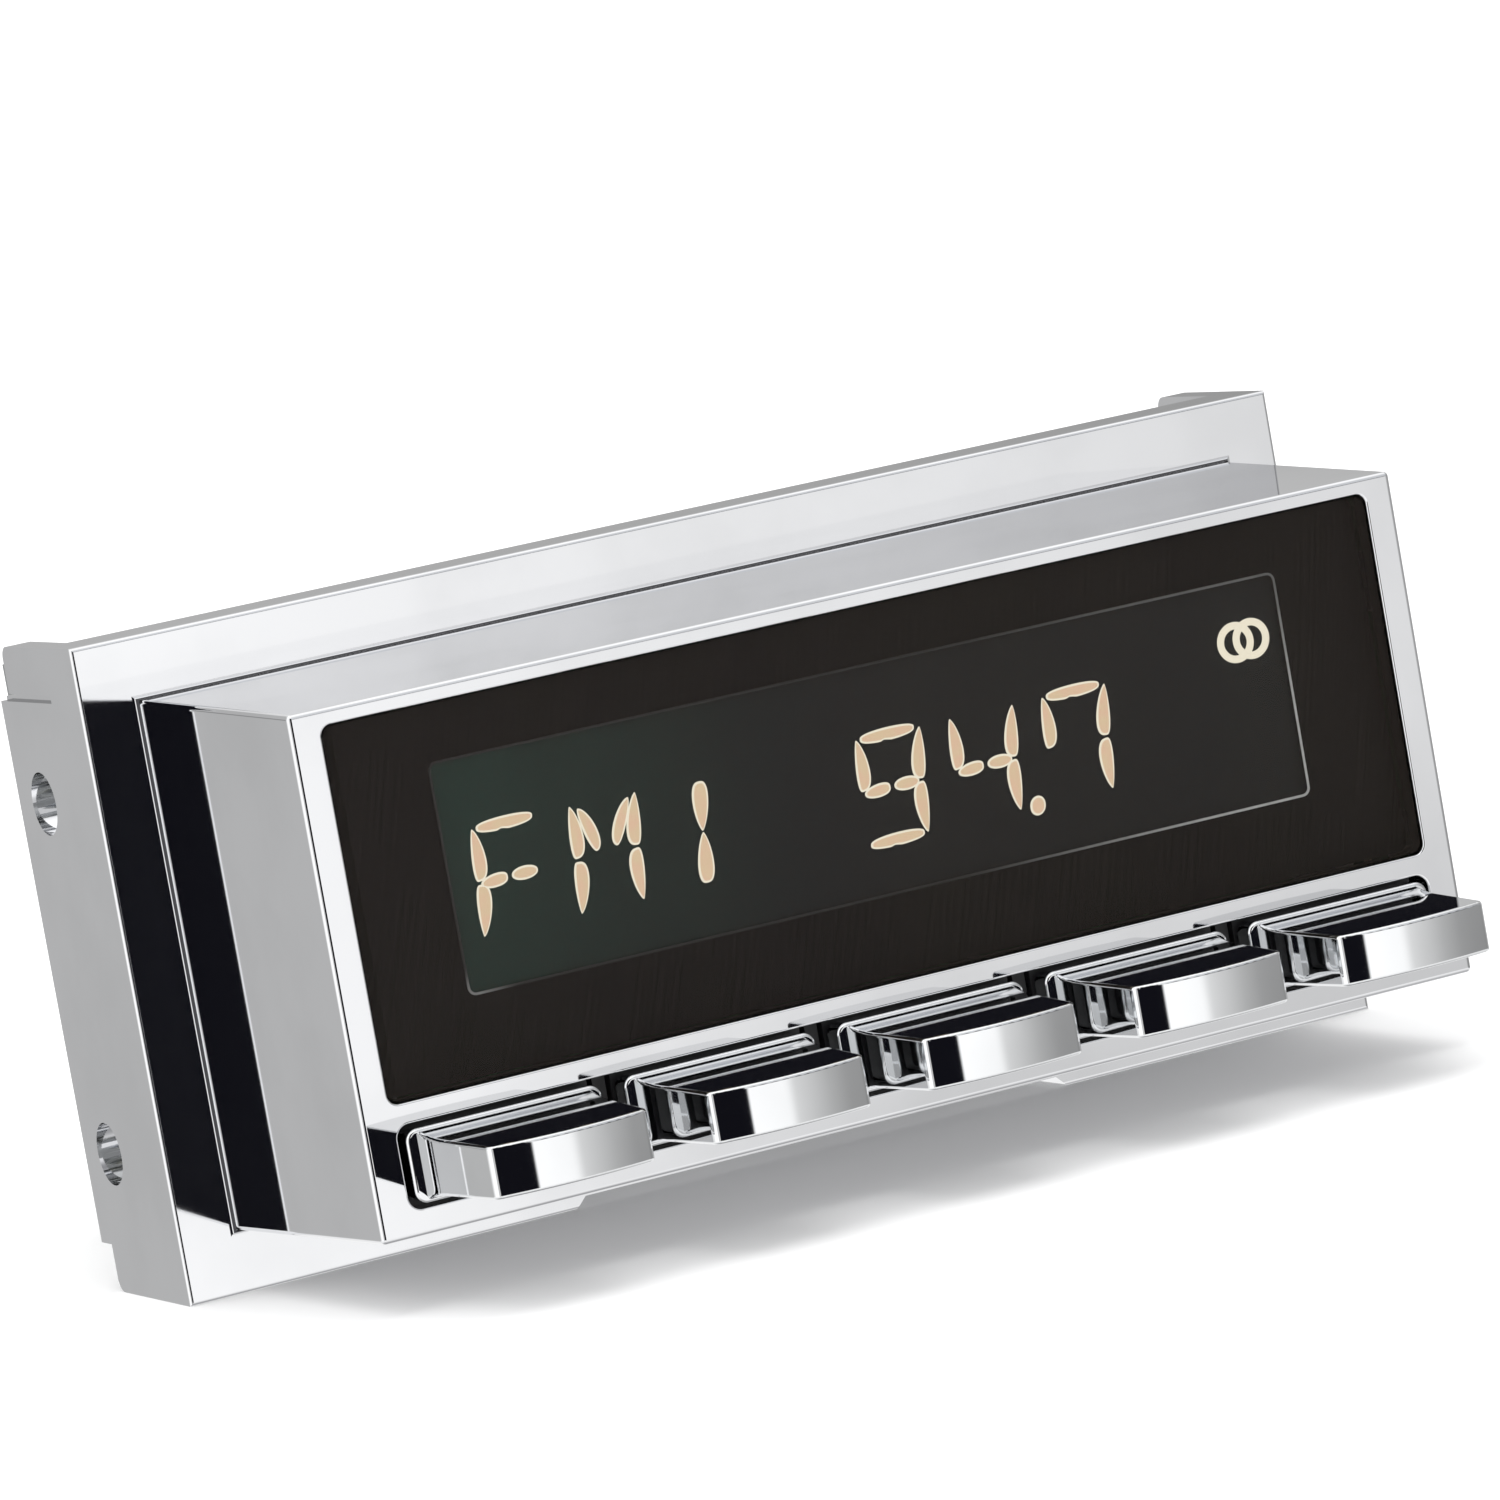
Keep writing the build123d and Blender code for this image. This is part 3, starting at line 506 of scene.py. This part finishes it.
ring_places = ((37.72, 39.78), (39.32, 39.82))
ring_outer, ring_inner = 1.83, 1.17
ring_step = 0.02
ring_glow = 0.6
ring_segments = 56
for number, (x, z) in enumerate(ring_places, 1):
    bm = bmesh.new()
    core = bm.verts.layers.float.new("core")
    disc = bmesh.ops.create_circle(
        bm, cap_ends=True, radius=ring_outer * MM, segments=ring_segments
    )
    face = disc["verts"][0].link_faces[0]
    bmesh.ops.inset_individual(bm, faces=[face], thickness=(ring_outer - ring_inner) * MM)
    bmesh.ops.delete(bm, geom=[face], context="FACES")
    grown = bmesh.ops.extrude_face_region(bm, geom=bm.faces[:])["geom"]
    raised = [part for part in grown if isinstance(part, bmesh.types.BMVert)]
    bmesh.ops.translate(bm, verts=raised, vec=(0, 0, (lift + ring_step * number) * MM))
    for vert in bm.verts:
        vert[core] = ring_glow
    bmesh.ops.rotate(bm, verts=bm.verts, cent=(0, 0, 0), matrix=Matrix.Rotation(pi / 2, 3, "X"))
    bmesh.ops.translate(bm, verts=bm.verts, vec=Vector((x, display_front, z)) * MM)
    bmesh.ops.recalc_face_normals(bm, faces=bm.faces)
    new_piece(f"stereo_ring_{number}", bm, glow_finish.material)

# The return springs: hard-drawn steel wire, wound in four turns round each plunger's stem. They
# sit between the plunger's shoulder and the guide and close up as the button goes in.

wire_radius = 0.2
coil_radius = 2.2
coil_turns = 4
steps_per_turn = 26
wire_segments = 10


def metal(name, tint, gloss, grain, stretch=(1.0, 1.0, 1.0), depth=0.000004):
    """Bare or thinly plated metal with a grain that may run one way."""
    finish = Finish(name, {"Metallic": 1.0})
    tone = finish.noise(120.0, 4.0)
    lines = finish.noise(grain, 3.0, stretch)
    duller = tuple(0.82 * c for c in tint)
    finish.feed(
        {
            "Base Color": finish.blend(tone.step(0.3, 0.75), tint, duller),
            "Roughness": gloss + 0.18 * tone + 0.08 * lines,
            "Normal": finish.bump(lines, depth, 0.5),
        }
    )
    return finish.material


spring_steel = metal("spring_steel", (0.60, 0.60, 0.58), 0.22, 4000.0)
for number in range(1, 6):
    low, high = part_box(f"return_spring_{number}")
    middle = (low + high) / 2
    rise = high.y - low.y - 2 * wire_radius * MM
    bm = bmesh.new()
    disc = bmesh.ops.create_circle(
        bm, cap_ends=True, radius=wire_radius * MM, segments=wire_segments
    )
    section = disc["verts"][0].link_faces[0]
    start = Vector((middle.x + coil_radius * MM, low.y + wire_radius * MM, middle.z))
    bmesh.ops.translate(bm, verts=bm.verts, vec=start)
    steps = coil_turns * steps_per_turn
    bmesh.ops.spin(
        bm,
        geom=[section, *section.edges, *section.verts],
        cent=middle,
        axis=(0, 1, 0),
        dvec=(0, rise / steps, 0),
        angle=tau * coil_turns,
        steps=steps,
    )
    bmesh.ops.recalc_face_normals(bm, faces=bm.faces)
    for face in bm.faces:
        face.smooth = len(face.verts) == 4
    spring = new_piece(f"coil_spring_{number}", bm, spring_steel)
    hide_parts(f"return_spring_{number}")
    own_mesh(spring)

# The light box behind the display: white moulded walls and diffuser, a row of warm lamps on the
# board, and the striped rubber strip that joins the glass to the board.

clad(
    moulded("white_plastic", (0.78, 0.78, 0.75), 0.4),
    "light_diffuser",
    "light_reflector",
    "aerial_insulator",
)
clad(moulded("lamp_resin", (0.90, 0.74, 0.45), 0.2, 0.000005), "backlight_leds")
rubber = Finish("contact_rubber", {"Roughness": 0.7})
stripes = rubber.node(
    "ShaderNodeTexWave",
    {"wave_type": "BANDS", "bands_direction": "X"},
    {"Vector": rubber.place(), "Scale": 400.0},
)
rubber.feed(
    {
        "Base Color": rubber.blend(
            stripes.step(0.4, 0.6), (0.62, 0.28, 0.32), (0.05, 0.04, 0.04)
        )
    }
)
clad(rubber.material, "lcd_contact_strip")

# The circuit boards: glass-epoxy laminate under green solder mask. The copper tracks show
# through the mask as slightly lighter, raised lines.


def laminate(name):
    """Green solder mask over copper tracks on a fine grid."""
    finish = Finish(name, {"Specular IOR Level": 0.5})
    across, along = (
        finish.node(
            "ShaderNodeTexWave",
            {"wave_type": "BANDS", "bands_direction": direction},
            {"Vector": finish.place(), "Scale": 120.0},
        ).step(0.72, 0.78)
        for direction in "XY"
    )
    choice = finish.noise(110.0, 0.0).step(0.47, 0.5)
    lines = across * choice + along * (1 - choice)
    weave = finish.noise(2400.0, 2.0)
    finish.feed(
        {
            "Base Color": finish.blend(lines, (0.012, 0.085, 0.035), (0.03, 0.17, 0.06)),
            "Roughness": 0.28 + 0.15 * weave,
            "Normal": finish.bump(lines + 0.25 * weave, 0.00003, 0.5),
        }
    )
    return finish.material


clad(laminate("board_laminate"), "front_board", "main_board")

# Turned brass: the standoffs under both boards and the aerial's centre sleeve, with the fine
# rings that the lathe leaves.

brass = metal("brass", (0.80, 0.60, 0.30), 0.25, 2600.0, (0.3, 0.3, 3.0))
clad(brass, "front_standoffs", "main_board_standoffs", "aerial_contact")

# The screws: slotted pan heads in zinc-plated steel. The plating is passivated, which leaves a
# faint blue and yellow tint.

zinc = Finish("zinc_screws", {"Metallic": 1.0})
tint = zinc.noise(260.0, 3.0)
zinc.feed(
    {
        "Base Color": zinc.blend(tint.step(0.35, 0.65), (0.66, 0.66, 0.60), (0.58, 0.61, 0.66)),
        "Roughness": 0.24 + 0.2 * tint,
        "Normal": zinc.bump(zinc.noise(5000.0), 0.000003, 0.5),
    }
)
clad(
    zinc.material,
    "front_board_screws",
    "bezel_screws",
    "housing_screws",
    "cover_screws",
    "main_board_screws",
)

# The rear housing and its cover: folded sheet steel, zinc plated and left bare, with the soft
# mottled sheen of plated sheet and the rolling direction running from side to side.


def plated_sheet(name):
    """Zinc-plated sheet: long rolling lines and broad soft patches."""
    finish = Finish(name, {"Metallic": 1.0})
    patches = finish.noise(45.0, 5.0)
    rolling = finish.noise(900.0, 3.0, (0.06, 1.0, 1.0))
    spots = finish.noise(2600.0, 2.0)
    finish.feed(
        {
            "Base Color": finish.blend(
                patches.step(0.3, 0.72), (0.60, 0.61, 0.61), (0.50, 0.515, 0.52)
            ),
            "Roughness": 0.30 + 0.16 * patches + 0.08 * rolling,
            "Normal": finish.bump(rolling * 0.8 + spots * 0.2, 0.000006, 0.5),
        }
    )
    return finish.material


clad(plated_sheet("plated_steel"), "rear_housing", "rear_cover")

# The louvres on the housing's roof: lanced and pressed up from the sheet, open along one side,
# in two rows of six; each opening is drawn as a near-black face of painted shade. Long ribs
# pressed in both side walls stiffen the sheet.

louvre_size = (30.0, 3.4, 1.2)
louvre_pitch = 6.2
louvre_rows = 6
louvre_offset = 21.0
rib_size = (38.0, 3.2, 0.9)
rib_heights = (-12.0, 12.0)
press_segments = 5
press_rounding = 0.9
sunk = 0.3
mouth_rim, mouth_step, mouth_depth = 0.25, 0.02, 0.5
housing_low, housing_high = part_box("rear_housing")
housing_middle = (housing_low + housing_high) / 2
# The louvres' openings are near-black faces of painted shade, not real holes into the housing.
mouth_shadow = moulded("louvre_shadow", (0.012, 0.012, 0.012), 0.7)


def pressing(bm, size, open_side):
    """A shape pressed up from sheet, along X and rising to +Z; a louvre keeps one side upright."""
    length, width, height = size
    verts = bmesh.ops.create_cube(bm, size=1.0)["verts"]
    bmesh.ops.scale(bm, verts=verts, vec=Vector((length, width, height + sunk)) * MM)
    bmesh.ops.translate(bm, verts=verts, vec=(0, 0, (height - sunk) / 2 * MM))
    edges = {edge for vert in verts for edge in vert.link_edges}
    rounded = []
    for edge in edges:
        middle = (edge.verts[0].co + edge.verts[1].co) / 2
        on_top = middle.z > (height - 0.01) * MM
        at_open_side = middle.y < -0.4 * width * MM
        if on_top and not (open_side and at_open_side):
            rounded.append(edge)
    made = bmesh.ops.bevel(
        bm,
        geom=rounded,
        offset=press_rounding * height * MM,
        affect="EDGES",
        segments=press_segments,
        profile=0.5,
        material=-1,
    )
    return list({*[v for v in verts if v.is_valid], *made["verts"]})


def open_mouth(bm):
    """Makes the upright front of each louvre its opening: a sunk near-black face of painted shade,
    with a rim of sheet round it.
    """
    fronts = [face for face in bm.faces if face.normal.y < -0.99]
    bmesh.ops.inset_individual(bm, faces=fronts, thickness=mouth_rim * MM)
    bmesh.ops.inset_individual(
        bm, faces=fronts, thickness=mouth_step * MM, depth=-mouth_depth * MM
    )
    for face in fronts:
        face.material_index = 1


for name, side in (("louvres_left", -1), ("louvres_right", 1)):
    bm = bmesh.new()
    for row in range(louvre_rows):
        made = pressing(bm, louvre_size, True)
        spot = (
            side * louvre_offset * MM,
            housing_middle.y + (row - (louvre_rows - 1) / 2) * louvre_pitch * MM,
            housing_high.z,
        )
        bmesh.ops.translate(bm, verts=made, vec=spot)
    bm.normal_update()
    open_mouth(bm)
    bmesh.ops.recalc_face_normals(bm, faces=bm.faces)
    louvres = new_piece(name, bm, nodes["rear_housing"].material_slots[0].material)
    louvres.data.materials.append(mouth_shadow)

side_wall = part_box("rear_cover")[1].x
for name, side in (("side_ribs_left", -1), ("side_ribs_right", 1)):
    bm = bmesh.new()
    for height in rib_heights:
        made = pressing(bm, rib_size, False)
        bmesh.ops.rotate(bm, verts=made, cent=(0, 0, 0), matrix=Matrix.Rotation(pi / 2, 3, "Z"))
        bmesh.ops.rotate(
            bm, verts=made, cent=(0, 0, 0), matrix=Matrix.Rotation(side * pi / 2, 3, "Y")
        )
        spot = (side * side_wall, housing_middle.y, housing_middle.z + height * MM)
        bmesh.ops.translate(bm, verts=made, vec=spot)
    bmesh.ops.recalc_face_normals(bm, faces=bm.faces)
    ribs = new_piece(name, bm, nodes["rear_housing"].material_slots[0].material)

# The rear cover's pressed border: a low rounded ridge round the connections, formed in the
# sheet to stiffen it.

border_size = (80.0, 42.0)
border_corner = 4.0
border_width = 2.4
border_height = 0.7
border_rounding = 0.6
border_segments = 4
cover_low, cover_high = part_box("rear_cover")
cover_middle = (cover_low + cover_high) / 2
bm = bmesh.new()
face = rounded_plate(bm, border_size[0] * MM, border_size[1] * MM, border_corner * MM)[0]
bmesh.ops.inset_individual(bm, faces=[face], thickness=border_width * MM)
bmesh.ops.delete(bm, geom=[face], context="FACES")
grown = bmesh.ops.extrude_face_region(bm, geom=bm.faces[:])["geom"]
raised = [part for part in grown if isinstance(part, bmesh.types.BMVert)]
bmesh.ops.translate(bm, verts=raised, vec=(0, (border_height + sunk) * MM, 0))
ridge = [
    edge
    for edge in bm.edges
    if all(vert in raised for vert in edge.verts)
    and sum(all(vert in raised for vert in face.verts) for face in edge.link_faces) == 1
]
bmesh.ops.bevel(
    bm,
    geom=ridge,
    offset=border_rounding * MM,
    affect="EDGES",
    segments=border_segments,
    profile=0.5,
    material=-1,
)
bmesh.ops.translate(
    bm, verts=bm.verts, vec=(cover_middle.x, cover_high.y - sunk * MM, cover_middle.z)
)
bmesh.ops.recalc_face_normals(bm, faces=bm.faces)
border = new_piece("cover_border", bm, nodes["rear_cover"].material_slots[0].material)

# The parts on the main board: tinned tuner can, supply choke with its laminated core, sleeved
# capacitors, finned heat sink with the amplifier chip, and the control chip.

clad(metal("tinned_steel", (0.72, 0.72, 0.70), 0.28, 1500.0), "tuner_can")
iron = metal("choke_iron", (0.25, 0.24, 0.23), 0.5, 1800.0, (0.1, 3.0, 0.1), 0.00002)
clad(iron, "supply_choke")
clad(moulded("capacitor_sleeve", (0.02, 0.035, 0.12), 0.22, 0.000004), "capacitors")
clad(metal("aluminium", (0.70, 0.71, 0.72), 0.34, 2200.0, (1.0, 0.08, 1.0)), "heat_sink")
clad(moulded("chip_epoxy", (0.03, 0.03, 0.032), 0.5), "amplifier_chip", "control_chip")
clad(moulded("header_plastic", (0.72, 0.68, 0.56), 0.45), "front_header", "main_header")
ribbon = Finish("ribbon_grey", {"Roughness": 0.5})
ways = ribbon.node(
    "ShaderNodeTexWave",
    {"wave_type": "BANDS", "bands_direction": "X"},
    {"Vector": ribbon.place(), "Scale": 250.0},
)
ribbon.feed(
    {
        "Base Color": ribbon.blend(ways.step(0.2, 0.5), (0.30, 0.31, 0.33), (0.48, 0.49, 0.50)),
        "Normal": ribbon.bump(ways, 0.0002, 0.8),
    }
)
clad(ribbon.material, "ribbon_cable")

# The rear connections: the tinned pins of the wiring socket, the nickel-plated aerial jack and
# the blade fuse in its red body.

clad(metal("tinned_pins", (0.74, 0.72, 0.66), 0.25, 3000.0), "harness_pins")
clad(metal("nickel_plate", (0.70, 0.68, 0.63), 0.18, 2400.0), "aerial_jack")
fuse = Finish("fuse_plastic", {"Roughness": 0.18, "IOR": 1.5})
streaks = fuse.noise(420.0, 2.0)
fuse.feed({"Base Color": fuse.blend(streaks, (0.55, 0.03, 0.015), (0.70, 0.06, 0.03))})
clad(fuse.material, "blade_fuse")

# The studio: a wide pale table, a large soft light overhead and a tent with dark panels.
# The tent is the world's light. Chrome shows each panel as a crisp black reflection, and the
# tent's slow change of tone from side to side as grey shading.

table_half = 40.0
table_squares = 8
table = bmesh.new()
bmesh.ops.create_grid(table, x_segments=table_squares, y_segments=table_squares, size=table_half)
table_mesh = bpy.data.meshes.new("table")
table.to_mesh(table_mesh)
table.free()
table_top = Finish("pale_table", {"Roughness": 0.9, "Specular IOR Level": 0.0})
table_tone = table_top.noise(1.5, 2.0)
table_top.feed(
    {"Base Color": table_top.blend(table_tone, (0.92, 0.92, 0.92), (0.94, 0.94, 0.94))}
)
table_mesh.materials.append(table_top.material)
table_object = bpy.data.objects.new("table", table_mesh)
bpy.context.scene.collection.objects.link(table_object)
table_object.visible_glossy = False


class Tent(Finish):
    """The world's own node tree, wired in the same way as a material."""

    def __init__(self):
        world = bpy.data.worlds.new("tent")
        bpy.context.scene.world = world
        world.use_nodes = True
        self.tree = world.node_tree
        self.background = self.tree.nodes["Background"]


def between(value, low, high, soft):
    """1 between two angles, with a soft edge at each."""
    return value.step(low - soft, low + soft) * (1 - value.step(high - soft, high + soft))


def grey(level):
    """A neutral colour."""
    return (level, level, level)


# Every angle is in degrees: bearings run round the radio from its front, heights up from level.

wall_tones = (
    (-180, 0.50),
    (-130, 0.52),
    (-95, 1.20),
    (-52, 1.25),
    (-46, 0.60),
    (-30, 0.60),
    (-27, 1.20),
    (8, 1.20),
    (21, 1.12),
    (24, 1.00),
    (28, 0.88),
    (33, 0.76),
    (39, 0.60),
    (47, 0.45),
    (58, 0.38),
    (85, 0.36),
    (110, 0.62),
    (146, 0.42),
    (151, 0.56),
    (155, 0.70),
    (159, 0.80),
    (180, 0.80),
)
roof_tone, roof_low, roof_high = 1.28, 24.0, 70.0
rear_low_share, front_low_share, front_high_share = 0.42, 0.25, 0.7
front_high_colour = (0.60, 0.62, 0.66)
nose_sight_share, nose_sight_extra = 0.10, 0.26
nose_sight_colour = (0.0, 0.0, 0.02)
panel_colour = (0.006, 0.006, 0.009)
floor_share = 0.85
floor_near, floor_far = (0.35, 0.35, 0.36), grey(1.05)
diffuse_tone, camera_tone = 1.38, 1.0
panels = {
    "dark_panel": (-28.5, 7.5, 0.6, -12.0, 40.0, 0.5),
    "low_panel": (9.0, 52.0, 2.0, 9.05, 13.6, 0.3),
}

tent = Tent()
toward = tent.node("ShaderNodeTexCoord", output="Generated")
toward_x, toward_y, toward_z = (
    tent.node("ShaderNodeSeparateXYZ", inputs={"Vector": toward}, output=axis) for axis in "XYZ"
)
bearing = toward_x.maths("ARCTAN2", toward_x, 0.0 - toward_y) * degrees(1.0)
rising = toward_z.maths("ARCSINE", toward_z) * degrees(1.0)
wall_light = tent.node(
    "ShaderNodeValToRGB",
    {"stops": [((angle + 180) / 360, grey(level)) for angle, level in wall_tones]},
    {"Fac": (bearing + 180.0) / 360.0},
)
roof = rising.step(roof_low, roof_high)
light = tent.blend(roof, wall_light, grey(roof_tone))
rear_low = bearing.maths("ABSOLUTE", bearing).step(120.0, 140.0) * between(rising, 0.0, 7.6, 1.0)
light = tent.blend(rear_low * rear_low_share, light, grey(0.0))
front_low = between(bearing, 24.0, 140.0, 2.0) * (1 - rising.step(-9.5, -6.5))
light = tent.blend(front_low * front_low_share, light, grey(0.0))
front_high = between(bearing, 8.0, 60.0, 3.0) * rising.step(12.5, 14.0) * (1 - roof)
light = tent.blend(front_high * front_high_share, light, front_high_colour)
nose_high_tone = bearing.step(18.0, 32.0) * nose_sight_extra + nose_sight_share
nose_sight = between(bearing, 12.0, 60.0, 4.0) * between(rising, 5.0, 9.3, 2.0)
light = tent.blend(nose_high_tone * nose_sight, light, nose_sight_colour)
for left, right, side_soft, low, high, soft in panels.values():
    panel = between(bearing, left, right, side_soft) * between(rising, low, high, soft)
    light = tent.blend(panel, light, panel_colour)
floor_light = tent.blend(rising.step(-75.0, -30.0), floor_near, floor_far)
light = tent.blend((1 - rising.step(-20.0, -12.5)) * floor_share, light, floor_light)
for ray, level in (("Is Diffuse Ray", diffuse_tone), ("Is Camera Ray", camera_tone)):
    seen = tent.node("ShaderNodeLightPath", output=ray)
    light = tent.blend(seen, light, grey(level))
tent.plug(tent.background.inputs["Color"], light)
tent.background.inputs["Strength"].default_value = 1.0

overhead = bpy.data.lights.new("overhead", "AREA")
overhead.shape = "RECTANGLE"
overhead.size = 1.2
overhead.size_y = 1.0
overhead.energy = 6.0
overhead_object = bpy.data.objects.new("overhead", overhead)
bpy.context.scene.collection.objects.link(overhead_object)
overhead_object.location = (0.1, -0.2, 1.3)
overhead_object.visible_camera = False
overhead_object.visible_glossy = False

# The camera: low and to the left of the radio, far off with a long lens, and tilted about its
# own line of sight.

camera_place = (-0.32237, -0.70599, 0.12233)
camera_bearing, camera_dip, camera_tilt = -24.91, 6.34, -10.03
camera = bpy.data.cameras.new("camera")
camera.lens = 206.98
camera.sensor_width = 36.0
camera.clip_start = 0.05
camera.clip_end = 50.0
turn = Matrix.Rotation(radians(camera_bearing), 4, "Z")
tip = Matrix.Rotation(radians(90 - camera_dip), 4, "X")
roll = Matrix.Rotation(radians(camera_tilt), 4, "Z")
camera_object = bpy.data.objects.new("camera", camera)
bpy.context.scene.collection.objects.link(camera_object)
camera_object.matrix_world = Matrix.Translation(camera_place) @ turn @ tip @ roll
bpy.context.scene.camera = camera_object
bpy.context.scene.view_settings.view_transform = "Standard"
